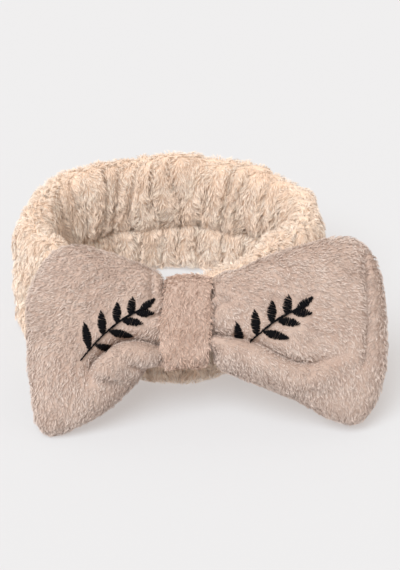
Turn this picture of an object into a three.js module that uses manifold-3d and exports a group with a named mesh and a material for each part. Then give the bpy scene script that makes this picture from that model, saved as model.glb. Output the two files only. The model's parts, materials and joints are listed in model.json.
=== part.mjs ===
// Plush spa headband: a gathered fleece sleeve over a loop of elastic, with a padded bow tied at the front.
// Millimetres, +Z up, bow towards -Y. The origin is the centre of the bounding box's bottom face.
import * as THREE from 'three';
import { mergeVertices } from 'three/addons/utils/BufferGeometryUtils.js';
import Module from 'manifold-3d';

const wasm = await Module();
wasm.setup();

// Driving dimensions
const GAP = 0.3; // clearance between touching pieces
const FABRIC = 2.5; // fleece with its pile pressed flat
const BAND = { halfWidth: 97, halfDepth: 77, wall: 24, height: 75, footRadius: 8, bulge: 0.6 };
const DIP = { depth: 15, spread: 36 }; // the band's rim is drawn down where the bow is tied
const REAR_RISE = 5; // and stands this much higher at the nape
const GATHERS = { count: 28, radial: 0.7, rim: 1.4, stepsEach: 3 };
const ELASTIC = { width: 30, thickness: 1.5, lapDegrees: 12 };
const ZIGZAG = { points: 9, swing: 1.4, thread: 1, depth: 0.6, margin: 1.5, x: 11 };
const END_SEAM = { width: 3, thick: 1.8 };
const TACK = { width: 9, thick: 1.6, heights: { upper: 60, lower: 52 } };
const SEAM = { height: 30, tall: 7, thick: 1.6, clear: 1.6 }; // lengthwise seam, inside the inner wall
const KNOT = { width: 28.4, height: 52, depth: 26, wall: 4.5, radius: 11, bevel: 1.5, y: -100, z: 57.5 };
const KNOT_SEAM = { thick: 1.8, tall: 9, inset: 2, below: 7 };
const BOW_LEAN = THREE.MathUtils.degToRad(30); // the bow leans back on the band
const BOW_YAW = THREE.MathUtils.degToRad(-6); // and is turned a little towards its shorter lobe
const LOBE_START = KNOT.width / 2 + 1.2;
const LOBE_GRID = { across: 14, up: 12 };
const WADDING_SHARE = 0.85; // of the space between the panels
const EDGE_SEAM = { radius: 1.2, clear: 2.0, from: 0.1, points: 24, steps: 48 };
const EMBROIDERY = { thick: 1, backing: 0.6 };
const SPRIG = {
  stem: { width: 36, height: 29, bow: 4, thick: 0.9, left: -19, low: -20 },
  pairs: 4,
  leaf: { length: 17, shorter: 2, width: 5 },
  tip: { length: 12, width: 4.4, angle: 0.65 },
};
const LOBES = [
  {
    name: 'left_lobe', side: -1, puff: 15.5,
    inner: { low: -24, high: 26 },
    outer: { low: [87, -65], middle: [92, -6], high: [86, 53] },
    round: { low: 0.05, high: 0.14 },
    motif: { x: 43, z: -1, scale: 1 },
  },
  {
    name: 'right_lobe', side: 1, puff: 16.5,
    inner: { low: -24, high: 26 },
    outer: { low: [102, -63.5], middle: [111, -4], high: [103, 53] },
    round: { low: 0.05, high: 0.13 },
    motif: { x: 46, z: -2, scale: 1.08 },
  },
];

const LOOKS = {
  bandPlush: { color: '#e3cba9', roughness: 0.95 },
  bowPlush: { color: '#d2b5a2', roughness: 0.95 },
  wadding: { color: '#f4f1ea', roughness: 1 },
  elastic: { color: '#efece6', roughness: 0.8 },
  beigeThread: { color: '#c9ab8f', roughness: 0.6 },
  blackThread: { color: '#151414', roughness: 0.45 },
  backing: { color: '#e9e6e0', roughness: 0.9 },
};
const materials = Object.fromEntries(
  Object.entries(LOOKS).map(([name, look]) => [
    name,
    new THREE.MeshStandardMaterial({ ...look, metalness: 0, name }),
  ]),
);

// Closed solids from rows of points

function signedVolume(points, triangles) {
  let six = 0;
  for (let t = 0; t < triangles.length; t += 3) {
    const [a, b, c] = [0, 1, 2].map((k) => points[triangles[t + k]]);
    six += a.dot(new THREE.Vector3().crossVectors(b, c));
  }
  return six / 6;
}

function solidFrom(points, triangles) {
  const faces = [...triangles];
  if (signedVolume(points, faces) < 0) faces.reverse();
  const geometry = new THREE.BufferGeometry().setFromPoints(points);
  geometry.setIndex(faces);
  geometry.computeVertexNormals();
  return geometry;
}

function quad(list, a, b, c, d) {
  list.push(a, b, c, a, c, d);
}

// A slab between two grids of points; grid[i][j] with the same size in both.
function slabSolid(front, back) {
  const rows = front.length;
  const columns = front[0].length;
  const points = [...front.flat(), ...back.flat()];
  const at = (layer, i, j) => layer * rows * columns + i * columns + j;
  const faces = [];
  for (let i = 0; i < rows - 1; i++) {
    for (let j = 0; j < columns - 1; j++) {
      quad(faces, at(0, i, j), at(0, i, j + 1), at(0, i + 1, j + 1), at(0, i + 1, j));
      quad(faces, at(1, i, j), at(1, i + 1, j), at(1, i + 1, j + 1), at(1, i, j + 1));
    }
  }
  for (let i = 0; i < rows - 1; i++) {
    quad(faces, at(0, i, 0), at(0, i + 1, 0), at(1, i + 1, 0), at(1, i, 0));
    const last = columns - 1;
    quad(faces, at(0, i + 1, last), at(0, i, last), at(1, i, last), at(1, i + 1, last));
  }
  for (let j = 0; j < columns - 1; j++) {
    quad(faces, at(0, 0, j + 1), at(0, 0, j), at(1, 0, j), at(1, 0, j + 1));
    const last = rows - 1;
    quad(faces, at(0, last, j), at(0, last, j + 1), at(1, last, j + 1), at(1, last, j));
  }
  return solidFrom(points, faces);
}

// A tube's wall, open at both ends: each section has an outer and an inner closed ring of points.
function tubeSolid(outerRings, innerRings) {
  const steps = outerRings.length;
  const sides = outerRings[0].length;
  const points = [...outerRings.flat(), ...innerRings.flat()];
  const at = (layer, i, k) => layer * steps * sides + i * sides + (k % sides);
  const faces = [];
  for (let i = 0; i < steps - 1; i++) {
    for (let k = 0; k < sides; k++) {
      quad(faces, at(0, i, k), at(0, i, k + 1), at(0, i + 1, k + 1), at(0, i + 1, k));
      quad(faces, at(1, i, k), at(1, i + 1, k), at(1, i + 1, k + 1), at(1, i, k + 1));
    }
  }
  for (let k = 0; k < sides; k++) {
    quad(faces, at(0, 0, k), at(1, 0, k), at(1, 0, k + 1), at(0, 0, k + 1));
    const end = steps - 1;
    quad(faces, at(0, end, k), at(0, end, k + 1), at(1, end, k + 1), at(1, end, k));
  }
  return solidFrom(points, faces);
}

// The band's path: an ellipse through the middle of its wall, seen from above

const centreline = {
  a: BAND.halfWidth - BAND.wall / 2,
  b: BAND.halfDepth - BAND.wall / 2,
};

function bandPoint(angle, offset, z) {
  const normal = new THREE.Vector2(Math.cos(angle) / centreline.a, Math.sin(angle) / centreline.b);
  normal.normalize();
  return new THREE.Vector3(
    centreline.a * Math.cos(angle) + offset * normal.x,
    centreline.b * Math.sin(angle) + offset * normal.y,
    z,
  );
}

function angles(half, steps) {
  const [start, end] = half === 'front' ? [-Math.PI, 0] : [0, Math.PI];
  const inset = GAP / 2 / centreline.b;
  const sweep = end - start - 2 * inset;
  return Array.from({ length: steps + 1 }, (_, i) => start + inset + (sweep * i) / steps);
}

function rimHeight(angle) {
  const x = centreline.a * Math.cos(angle);
  const dip = Math.sin(angle) < 0 ? DIP.depth * Math.exp(-((x / DIP.spread) ** 2)) : 0;
  const rise = REAR_RISE * Math.max(Math.sin(angle), 0) ** 1.5;
  return BAND.height + rise - dip + GATHERS.rim * Math.sin(GATHERS.count * angle + 1);
}

// One flat-bottomed, round-topped section of the sleeve, as [offset, z] pairs.
function sleeveSection(halfThickness, low, high) {
  const foot = BAND.footRadius - low;
  const outline = [];
  for (const turn of [0.5, 0.25, 0]) {
    const phi = Math.PI * turn;
    outline.push([halfThickness - foot + foot * Math.cos(phi), low + foot - foot * Math.sin(phi)]);
  }
  outline.push([halfThickness + BAND.bulge, (low + high) / 2]);
  for (let k = 0; k <= 4; k++) {
    const phi = (Math.PI * k) / 4;
    outline.push([halfThickness * Math.cos(phi), high - halfThickness + halfThickness * Math.sin(phi)]);
  }
  outline.push([-halfThickness - BAND.bulge, (low + high) / 2]);
  for (const turn of [0, 0.25, 0.5]) {
    const phi = Math.PI * turn;
    outline.push([-halfThickness + foot - foot * Math.cos(phi), low + foot - foot * Math.sin(phi)]);
  }
  return outline;
}

function sleeveHalf(half) {
  const rings = (inset) =>
    angles(half, (GATHERS.count / 2) * GATHERS.stepsEach).map((angle) => {
      const swell = GATHERS.radial * Math.sin(GATHERS.count * angle);
      const section = sleeveSection(BAND.wall / 2 + swell - inset, inset, rimHeight(angle) - inset);
      return section.map(([offset, z]) => bandPoint(angle, offset, z));
    });
  return tubeSolid(rings(0), rings(FABRIC));
}

// A flat strip standing on edge along the band's path.
function bandStrip(angleList, fromCentre, thickness, low, high) {
  const side = (offset) =>
    angleList.map((angle) => [bandPoint(angle, offset, low), bandPoint(angle, offset, high)]);
  return slabSolid(side(fromCentre + thickness / 2), side(fromCentre - thickness / 2));
}

function elasticHalf(half) {
  const low = (BAND.height - ELASTIC.width) / 2;
  return bandStrip(angles(half, 28), 0, ELASTIC.thickness, low, low + ELASTIC.width);
}

function elasticLap() {
  const lap = THREE.MathUtils.degToRad(ELASTIC.lapDegrees);
  const list = Array.from({ length: 7 }, (_, i) => -Math.PI / 2 - lap + (2 * lap * i) / 6);
  const low = (BAND.height - ELASTIC.width) / 2;
  return bandStrip(list, -ELASTIC.thickness - GAP, ELASTIC.thickness, low, low + ELASTIC.width);
}

// How far from the middle of the wall something thin lies when it is inside one face of the sleeve.
function besideFace(thickness) {
  return BAND.wall / 2 - FABRIC - SEAM.clear - thickness / 2;
}

function seamBindingHalf(half) {
  const fromCentre = -besideFace(SEAM.thick);
  return bandStrip(angles(half, 28), fromCentre, SEAM.thick, SEAM.height, SEAM.height + SEAM.tall);
}

// A zigzag row of thread, standing against the elastic's outer face.
function zigzagStitch() {
  const { points, swing, thread, depth, margin } = ZIGZAG;
  const pitch = (ELASTIC.width - 2 * margin) / (points - 1);
  const centre = Array.from({ length: points }, (_, k) => [k % 2 ? swing : -swing, k * pitch]);
  const shape = new THREE.Shape([
    ...centre.map(([x, z]) => new THREE.Vector2(x - thread / 2, z)),
    ...centre.reverse().map(([x, z]) => new THREE.Vector2(x + thread / 2, z)),
  ]);
  const geometry = new THREE.ExtrudeGeometry(shape, { depth, bevelEnabled: false });
  geometry.rotateX(Math.PI / 2);
  return geometry;
}

// The bow's lobes: a = 0 at the knot to 1 at the outer edge, b = -1 at the bottom to 1 at the top

function eased(k, count) {
  return 0.5 - 0.5 * Math.cos((Math.PI * k) / count);
}

function throughThree(low, middle, high, b) {
  return middle + ((high - low) / 2) * b + ((high + low) / 2 - middle) * b * b;
}

function lobeOutline(lobe, a, b) {
  const corner = b < 0 ? lobe.round.low : lobe.round.high;
  const rounding = 1 - corner * a ** 6 * Math.abs(b) ** 4;
  const innerZ = THREE.MathUtils.lerp(lobe.inner.low, lobe.inner.high, (b + 1) / 2);
  const [low, middle, high] = [lobe.outer.low, lobe.outer.middle, lobe.outer.high];
  const outerS = throughThree(low[0], middle[0], high[0], b);
  const outerZ = throughThree(low[1], middle[1], high[1], b);
  const s = LOBE_START + (outerS - LOBE_START) * a * rounding;
  const z = innerZ + (outerZ * rounding - innerZ) * a;
  return [s, z];
}

// How far the inside of each panel stands from the lobe's middle plane.
function lobePuff(lobe, a, b) {
  const nose = Math.sqrt(1 - (1 - Math.min(a / 0.14, 1)) ** 2);
  const waist = 0.5 + 0.5 * THREE.MathUtils.smoothstep(a, 0, 0.55);
  const outerEdge = Math.max(1 - a ** 5, 0) ** 0.6;
  const sideEdges = Math.max(1 - Math.abs(b) ** 2.6, 0) ** 0.6;
  return lobe.puff * nose * waist * outerEdge * sideEdges;
}

// depth(puff) is how far in front of the middle plane the surface lies; i and j are ranges of grid lines.
function lobeSurface(lobe, depth, [i0, i1], [j0, j1]) {
  const grid = [];
  for (let i = i0; i <= i1; i++) {
    const row = [];
    for (let j = j0; j <= j1; j++) {
      const a = eased(i, LOBE_GRID.across);
      const b = 2 * eased(j, LOBE_GRID.up) - 1;
      const [s, z] = lobeOutline(lobe, a, b);
      row.push(new THREE.Vector3(lobe.side * s, -depth(lobePuff(lobe, a, b)), z));
    }
    grid.push(row);
  }
  return grid;
}

function lobeSlab(lobe, near, far, i = [0, LOBE_GRID.across], j = [0, LOBE_GRID.up]) {
  return slabSolid(lobeSurface(lobe, near, i, j), lobeSurface(lobe, far, i, j));
}

function lobePanel(lobe, facing) {
  return lobeSlab(lobe, (t) => facing * (t + GAP / 2 + FABRIC), (t) => facing * (t + GAP / 2));
}

function lobeWadding(lobe) {
  const inside = (t) => WADDING_SHARE * t - GAP;
  return lobeSlab(lobe, inside, (t) => -inside(t), [2, LOBE_GRID.across - 2], [2, LOBE_GRID.up - 2]);
}

function embroideryBacking(lobe) {
  const { backing } = EMBROIDERY;
  return lobeSlab(lobe, (t) => t - backing, (t) => t - 2 * backing, [4, 10], [3, LOBE_GRID.up - 3]);
}

// The cord of stitches just outside the two panels' edge, from the knot's lower side round to its upper side.
function edgeSeam(lobe) {
  const { points, from, clear } = EDGE_SEAM;
  const edgePoint = (a, b) => new THREE.Vector2(...lobeOutline(lobe, a, b));
  const run = (k) => from + (1 - from) * Math.sin((Math.PI / 2) * (k / points));
  const low = Array.from({ length: points }, (_, k) => edgePoint(run(k), -1));
  const outer = Array.from({ length: points + 1 }, (_, k) => edgePoint(1, 2 * eased(k, points) - 1));
  const high = Array.from({ length: points }, (_, k) => edgePoint(run(points - 1 - k), 1));
  const outline = [...low, ...outer, ...high];
  const path = outline.map((point, k) => {
    const before = outline[Math.max(k - 1, 0)];
    const after = outline[Math.min(k + 1, outline.length - 1)];
    const along = after.clone().sub(before).normalize();
    return new THREE.Vector3(lobe.side * (point.x + clear * along.y), 0, point.y - clear * along.x);
  });
  return cordSolid(new THREE.CatmullRomCurve3(path), EDGE_SEAM.radius, EDGE_SEAM.steps);
}

function cordSolid(curve, radius, steps) {
  const section = new THREE.Shape().absarc(0, 0, radius, 0, 2 * Math.PI);
  const options = { extrudePath: curve, steps, curveSegments: 4, bevelEnabled: false };
  return new THREE.ExtrudeGeometry(section, options);
}

// Embroidery: a leafy sprig, cut out of a thin layer lying on the front panel

function leaf(base, angle, length, width) {
  const shape = new THREE.Shape();
  shape.moveTo(0, 0);
  shape.quadraticCurveTo(length * 0.45, width, length, 0);
  shape.quadraticCurveTo(length * 0.45, -width, 0, 0);
  const turned = shape.getPoints(5).map((p) => p.rotateAround(new THREE.Vector2(), angle).add(base));
  return new THREE.Shape(turned);
}

function stemPoint(t) {
  const { left, low, width, height, bow } = SPRIG.stem;
  return new THREE.Vector2(left + width * t, low + height * t + bow * Math.sin(Math.PI * t));
}

function sprigShapes() {
  const { stem, pairs, leaf: size, tip } = SPRIG;
  const lower = [0, 0.2, 0.4, 0.6, 0.8, 1].map(stemPoint);
  const upper = lower.map((p) => new THREE.Vector2(p.x, p.y + stem.thick));
  const shapes = [new THREE.Shape([...lower, ...upper.reverse()])];
  for (let k = 0; k < pairs; k++) {
    const t = 0.14 + 0.22 * k;
    const length = size.length - size.shorter * k;
    shapes.push(leaf(stemPoint(t), 1.75 - 0.1 * k, length, size.width));
    shapes.push(leaf(stemPoint(t + 0.08), -0.35 + 0.1 * k, length, size.width));
  }
  shapes.push(leaf(stemPoint(0.94), tip.angle, tip.length, tip.width));
  return shapes;
}

function manifoldOf(geometry) {
  const bare = geometry.clone();
  bare.deleteAttribute('normal');
  bare.deleteAttribute('uv');
  const merged = mergeVertices(bare, 1e-4);
  return new wasm.Manifold(
    new wasm.Mesh({
      numProp: 3,
      vertProperties: new Float32Array(merged.attributes.position.array),
      triVerts: new Uint32Array(merged.index.array),
    }),
  );
}

function geometryOf(manifold) {
  const mesh = manifold.getMesh();
  const geometry = new THREE.BufferGeometry();
  geometry.setAttribute('position', new THREE.BufferAttribute(new Float32Array(mesh.vertProperties), 3));
  geometry.setIndex(new THREE.BufferAttribute(new Uint32Array(mesh.triVerts), 1));
  geometry.computeVertexNormals();
  return geometry;
}

function embroidery(lobe) {
  const { x, z, scale } = lobe.motif;
  const depth = 60;
  let cutter;
  for (const shape of sprigShapes()) {
    const prism = new THREE.ExtrudeGeometry(shape, { depth, bevelEnabled: false, curveSegments: 1 });
    prism.scale(scale, scale, 1);
    prism.rotateX(Math.PI / 2);
    prism.translate(lobe.side * x, 0, z);
    const solid = manifoldOf(prism);
    cutter = cutter ? cutter.add(solid) : solid;
  }
  const surface = (t) => t + GAP / 2 + FABRIC + GAP;
  const layer = lobeSlab(lobe, (t) => surface(t) + EMBROIDERY.thick, surface);
  return geometryOf(manifoldOf(layer).intersect(cutter));
}

// The knot: a folded strip of plush looped round the bow's pinched middle

function roundedRectangle(width, height, radius) {
  const [x, y] = [width / 2 - radius, height / 2 - radius];
  const shape = new THREE.Shape();
  shape.absarc(x, y, radius, 0, Math.PI / 2);
  shape.absarc(-x, y, radius, Math.PI / 2, Math.PI);
  shape.absarc(-x, -y, radius, Math.PI, 1.5 * Math.PI);
  shape.absarc(x, -y, radius, 1.5 * Math.PI, 2 * Math.PI);
  shape.closePath();
  return shape;
}

// Extrudes a shape drawn in the (depth, height) plane to both sides of x = 0.
function acrossBow(shape, width, bevel = 0) {
  const options = {
    depth: width - 2 * bevel,
    curveSegments: 5,
    bevelEnabled: bevel > 0,
    bevelSize: bevel,
    bevelOffset: -bevel,
    bevelThickness: bevel,
    bevelSegments: 2,
  };
  const geometry = new THREE.ExtrudeGeometry(shape, options);
  geometry.translate(0, 0, -(width - 2 * bevel) / 2);
  geometry.rotateY(Math.PI / 2);
  geometry.rotateX(Math.PI / 2);
  return geometry;
}

function knotStrip() {
  const outer = roundedRectangle(KNOT.depth, KNOT.height, KNOT.radius);
  const hole = roundedRectangle(
    KNOT.depth - 2 * KNOT.wall,
    KNOT.height - 2 * KNOT.wall,
    KNOT.radius - KNOT.wall,
  );
  outer.holes.push(hole);
  return acrossBow(outer, KNOT.width, KNOT.bevel);
}

function bowCore() {
  const inset = KNOT.wall + KNOT.bevel + GAP;
  const shape = roundedRectangle(
    KNOT.depth - 2 * inset,
    KNOT.height - 2 * inset,
    KNOT.radius - inset,
  );
  return acrossBow(shape, KNOT.width - 1);
}

function knotBackSeam() {
  const { thick, tall, inset, below } = KNOT_SEAM;
  const seam = acrossBow(roundedRectangle(thick, tall, thick * 0.45), KNOT.width - 2 * inset);
  seam.translate(0, KNOT.depth / 2 + GAP + thick / 2, -below);
  return seam;
}

// A stitch that bridges the space between the back of the knot and the band.
function tackStitch(z) {
  const up = (z - KNOT.z + (KNOT.depth / 2) * Math.sin(BOW_LEAN)) / Math.cos(BOW_LEAN);
  const knotBack = KNOT.y + (KNOT.depth / 2) * Math.cos(BOW_LEAN) + up * Math.sin(BOW_LEAN);
  const bandFront = -BAND.halfDepth - GATHERS.radial - BAND.bulge;
  const from = knotBack + 4 * GAP;
  const length = bandFront - GAP - from;
  const stitch = new THREE.BoxGeometry(TACK.width, length, TACK.thick, 3, 1, 1);
  stitch.translate(0, from + length / 2, z);
  return stitch;
}

// Assembly

function piece(name, geometry, material) {
  const mesh = new THREE.Mesh(geometry, material.clone());
  mesh.name = name;
  return mesh;
}

function buildBand() {
  const band = new THREE.Group();
  for (const half of ['front', 'rear']) {
    band.add(piece(`band_sleeve_${half}`, sleeveHalf(half), materials.bandPlush));
    band.add(piece(`seam_binding_${half}`, seamBindingHalf(half), materials.beigeThread));
    band.add(piece(`elastic_${half}`, elasticHalf(half), materials.elastic));
  }
  band.add(piece('elastic_lap', elasticLap(), materials.elastic));
  for (const [side, x] of [['left', -ZIGZAG.x], ['right', ZIGZAG.x]]) {
    const stitch = piece(`elastic_stitch_${side}`, zigzagStitch(), materials.beigeThread);
    const elasticFace = -centreline.b * Math.sqrt(1 - (x / centreline.a) ** 2) - ELASTIC.thickness / 2;
    stitch.position.set(x, elasticFace - 2 * GAP, (BAND.height - ELASTIC.width) / 2 + ZIGZAG.margin);
    band.add(stitch);
  }
  const seamTall = BAND.height - DIP.depth - BAND.wall;
  const endSeam = new THREE.BoxGeometry(END_SEAM.width, END_SEAM.thick, seamTall);
  endSeam.translate(0, -centreline.b - besideFace(END_SEAM.thick), BAND.footRadius + seamTall / 2);
  band.add(piece('sleeve_end_seam', endSeam, materials.beigeThread));
  for (const [place, height] of Object.entries(TACK.heights)) {
    band.add(piece(`tack_stitch_${place}`, tackStitch(height), materials.beigeThread));
  }
  return band;
}

function buildBow() {
  const bow = new THREE.Group();
  bow.rotation.x = -BOW_LEAN;
  bow.add(piece('knot_strip', knotStrip(), materials.bowPlush));
  bow.add(piece('bow_core', bowCore(), materials.bowPlush));
  bow.add(piece('knot_back_seam', knotBackSeam(), materials.beigeThread));
  for (const lobe of LOBES) {
    bow.add(piece(`${lobe.name}_front_panel`, lobePanel(lobe, 1), materials.bowPlush));
    bow.add(piece(`${lobe.name}_back_panel`, lobePanel(lobe, -1), materials.bowPlush));
    bow.add(piece(`${lobe.name}_edge_seam`, edgeSeam(lobe), materials.beigeThread));
    bow.add(piece(`${lobe.name}_wadding`, lobeWadding(lobe), materials.wadding));
    bow.add(piece(`${lobe.name}_embroidery`, embroidery(lobe), materials.blackThread));
    bow.add(piece(`${lobe.name}_embroidery_backing`, embroideryBacking(lobe), materials.backing));
  }
  const turned = new THREE.Group();
  turned.position.set(0, KNOT.y, KNOT.z);
  turned.rotation.z = BOW_YAW;
  turned.add(bow);
  return turned;
}

const headband = new THREE.Group();
headband.add(buildBand(), buildBow());

// The origin goes to the centre of the box's bottom face.
const extent = new THREE.Box3().setFromObject(headband, true);
const middle = extent.getCenter(new THREE.Vector3());
headband.position.set(-middle.x, -middle.y, -extent.min.z);

export default headband;
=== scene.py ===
"""Looks of a plush spa headband: a gathered fleece band with a padded bow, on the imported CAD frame."""

import json
import math
from collections import namedtuple

import bpy
import numpy as np
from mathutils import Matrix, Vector
from mathutils.bvhtree import BVHTree
from mathutils.kdtree import KDTree


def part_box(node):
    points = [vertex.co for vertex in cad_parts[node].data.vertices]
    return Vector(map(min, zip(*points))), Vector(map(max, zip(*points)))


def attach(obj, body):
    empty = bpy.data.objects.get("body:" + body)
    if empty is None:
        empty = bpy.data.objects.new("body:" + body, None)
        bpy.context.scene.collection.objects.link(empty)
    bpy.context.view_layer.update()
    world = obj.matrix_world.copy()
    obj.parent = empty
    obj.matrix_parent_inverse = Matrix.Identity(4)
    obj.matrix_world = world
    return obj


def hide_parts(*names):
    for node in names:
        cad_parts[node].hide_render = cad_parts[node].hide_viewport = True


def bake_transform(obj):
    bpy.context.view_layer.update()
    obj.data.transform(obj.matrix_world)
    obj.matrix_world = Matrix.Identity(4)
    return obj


MM = 0.001
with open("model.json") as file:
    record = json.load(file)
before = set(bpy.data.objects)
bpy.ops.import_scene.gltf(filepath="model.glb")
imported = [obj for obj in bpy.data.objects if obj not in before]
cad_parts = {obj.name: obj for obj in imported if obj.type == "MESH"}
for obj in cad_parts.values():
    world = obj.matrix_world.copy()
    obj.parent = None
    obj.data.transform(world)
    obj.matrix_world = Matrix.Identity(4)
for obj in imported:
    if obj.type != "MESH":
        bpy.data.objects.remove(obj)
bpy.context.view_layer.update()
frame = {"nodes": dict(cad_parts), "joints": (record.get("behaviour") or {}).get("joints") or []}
joints = {joint["name"]: joint for joint in frame["joints"]}


# ---- camera, light and floor

CAMERA = {
    "azimuth": -7.2,
    "elevation": 31.4,
    "distance": 1.2,
    "lens": 122.7,
    "aim": (0.0075, -0.0028, 0.042),
}
SUN = {"from": (-0.42, -0.6, 1.0), "strength": 2.75, "angle": 40}
FILL = (0.58, 0.51, 0.45)  # warm, as the light between the strands of a pile is
FLOOR_TONE = (0.335, 0.375, 0.408)
FLOOR_PAINTED_GLOW = (0.44, 0.405, 0.39)  # painted glow: the floor glows, so that shadows on it stay pale and warm, and it also lights the band and bow from below
FLOOR_REACH = 6.0


def make_camera():
    """A long lens in front of the bow, a little to its left and looking down on it."""
    data = bpy.data.cameras.new("camera")
    data.lens = CAMERA["lens"]
    data.clip_start = 0.01
    camera = bpy.data.objects.new("camera", data)
    azimuth = math.radians(CAMERA["azimuth"])
    elevation = math.radians(CAMERA["elevation"])
    back = Vector((
        math.sin(azimuth) * math.cos(elevation),
        -math.cos(azimuth) * math.cos(elevation),
        math.sin(elevation),
    ))
    camera.location = Vector(CAMERA["aim"]) + CAMERA["distance"] * back
    camera.rotation_euler = back.to_track_quat("Z", "Y").to_euler()
    bpy.context.scene.collection.objects.link(camera)
    bpy.context.scene.camera = camera


def make_light():
    """Warm light from all round, and one broad light from above, in front and to the left."""
    scene = bpy.context.scene
    scene.view_settings.view_transform = "Standard"
    world = bpy.data.worlds.new("studio")
    world.use_nodes = True
    background = world.node_tree.nodes["Background"]
    background.inputs["Color"].default_value = (*FILL, 1)
    background.inputs["Strength"].default_value = 1.0
    scene.world = world
    data = bpy.data.lights.new("softbox", "SUN")
    data.energy = SUN["strength"]
    data.angle = math.radians(SUN["angle"])
    sun = bpy.data.objects.new("softbox", data)
    sun.rotation_euler = Vector(SUN["from"]).to_track_quat("Z", "Y").to_euler()
    scene.collection.objects.link(sun)


def make_floor():
    """A wide, pale, matt floor, which glows with painted light so that shadows on it stay pale."""
    corners = [(x * FLOOR_REACH, y * FLOOR_REACH, 0) for x, y in ((-1, -1), (1, -1), (1, 1), (-1, 1))]
    floor = mesh_object("floor", np.array(corners), [[0, 1, 2, 3]])
    material, shader, _ = new_material("floor", FLOOR_TONE, 0.9)
    shader.inputs["Specular IOR Level"].default_value = 0.0
    # painted light: the floor's glow lifts the shadows that fall on it
    shader.inputs["Emission Color"].default_value = (*FLOOR_PAINTED_GLOW, 1)
    shader.inputs["Emission Strength"].default_value = 1.0
    dress(floor, material)


# ---- mesh and material helpers


def mesh_object(name, points, faces, smooth=True):
    """An object made from points in metres and faces, which can differ in how many corners they have."""
    sizes = np.array([len(face) for face in faces], np.int32)
    corners = np.concatenate(faces).astype(np.int32)
    mesh = bpy.data.meshes.new(name)
    mesh.vertices.add(len(points))
    mesh.vertices.foreach_set("co", np.asarray(points, np.float32).ravel())
    mesh.loops.add(len(corners))
    mesh.loops.foreach_set("vertex_index", corners)
    mesh.polygons.add(len(sizes))
    mesh.polygons.foreach_set("loop_start", (np.cumsum(sizes) - sizes).astype(np.int32))
    mesh.polygons.foreach_set("use_smooth", np.full(len(sizes), smooth))
    mesh.update(calc_edges=True)
    obj = bpy.data.objects.new(name, mesh)
    bpy.context.scene.collection.objects.link(obj)
    return obj


def ring_quads(rows, sides, closed=True):
    """The faces of a tube of points: each row runs round it, and closed joins the last row to the first."""
    i, k = np.meshgrid(np.arange(rows if closed else rows - 1), np.arange(sides), indexing="ij")

    def at(row, side):
        return ((row % rows) * sides + side % sides).ravel()

    return np.stack([at(i, k), at(i + 1, k), at(i + 1, k + 1), at(i, k + 1)], 1)


def points_of(obj):
    """An object's points, as an array (points, 3)."""
    points = np.zeros(len(obj.data.vertices) * 3, np.float32)
    obj.data.vertices.foreach_get("co", points)
    return points.reshape(-1, 3).astype(float)


def set_points(obj, points):
    """Puts an object's points in new places."""
    obj.data.vertices.foreach_set("co", np.asarray(points, np.float32).ravel())
    obj.data.update()


def triangles_of(obj):
    """An object's faces cut into triangles, as an array of point numbers (triangles, 3)."""
    obj.data.calc_loop_triangles()
    triangles = np.zeros(len(obj.data.loop_triangles) * 3, np.int32)
    obj.data.loop_triangles.foreach_get("vertices", triangles)
    return triangles.reshape(-1, 3)


def unit(vectors):
    """The vectors at length 1."""
    length = np.linalg.norm(vectors, axis=-1, keepdims=True)
    return vectors / np.maximum(length, 1e-12)


def vertex_normals(points, triangles):
    """The surface's direction at each point, outward."""
    a, b, c = (points[triangles[:, k]] for k in range(3))
    faces = np.cross(b - a, c - a)
    normals = np.zeros_like(points)
    for k in range(3):
        np.add.at(normals, triangles[:, k], faces)
    return unit(normals)


def waves(points, scale, seed, count=9):
    """Smooth noise from about -1 to 1: plane waves in random directions, about scale metres long."""
    rng = np.random.default_rng(seed)
    directions = unit(rng.normal(size=(count, 3)))
    lengths = scale * rng.uniform(0.7, 1.5, count)
    phases = rng.uniform(0, 2 * math.pi, count)
    total = np.zeros(len(points))
    for direction, length, phase in zip(directions, lengths, phases):
        total += np.sin(points @ direction * (2 * math.pi / length) + phase)
    deviation = math.sqrt(count / 2)
    return total / deviation / 1.6


def smooth_curve(controls, count, closed=False):
    """count points along a Catmull-Rom curve through the control points."""
    controls = np.asarray(controls, float)
    if closed:
        padded = np.vstack([controls[-1:], controls, controls[:2]])
    else:
        padded = np.vstack([2 * controls[0] - controls[1], controls, 2 * controls[-1] - controls[-2]])
    spans = len(padded) - 3
    t = np.linspace(0, spans, count, endpoint=not closed)
    k = np.minimum(t.astype(int), spans - 1)
    u = (t - k)[:, None]
    p0, p1, p2, p3 = padded[k], padded[k + 1], padded[k + 2], padded[k + 3]
    bend = 2 * p0 - 5 * p1 + 4 * p2 - p3
    return 0.5 * (2 * p1 + (p2 - p0) * u + bend * u**2 + (3 * p1 - p0 - 3 * p2 + p3) * u**3)


def smoothstep(value, low, high):
    """Rises smoothly from 0 at low to 1 at high."""
    t = np.clip((value - low) / (high - low), 0, 1)
    return t * t * (3 - 2 * t)


def dress(piece, material):
    """Gives a piece one material."""
    piece.data.materials.clear()
    piece.data.materials.append(material)


def new_material(name, color, roughness):
    """A material, its shader and its node tree."""
    material = bpy.data.materials.new(name)
    material.use_nodes = True
    shader = material.node_tree.nodes["Principled BSDF"]
    shader.inputs["Base Color"].default_value = (*color, 1)
    shader.inputs["Roughness"].default_value = roughness
    return material, shader, material.node_tree


def srgb(red, green, blue):
    """A colour given as 0 to 255 display values, as linear light."""
    shares = (red / 255, green / 255, blue / 255)
    return tuple(((v + 0.055) / 1.055) ** 2.4 if v > 0.04045 else v / 12.92 for v in shares)


def add_texture(tree, kind, **values):
    """A texture node, placed by the object's own coordinates."""
    place = tree.nodes.new("ShaderNodeTexCoord")
    texture = tree.nodes.new(f"ShaderNodeTex{kind}")
    for name, value in values.items():
        texture.inputs[name.capitalize()].default_value = value
    tree.links.new(place.outputs["Object"], texture.inputs["Vector"])
    return texture


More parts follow.
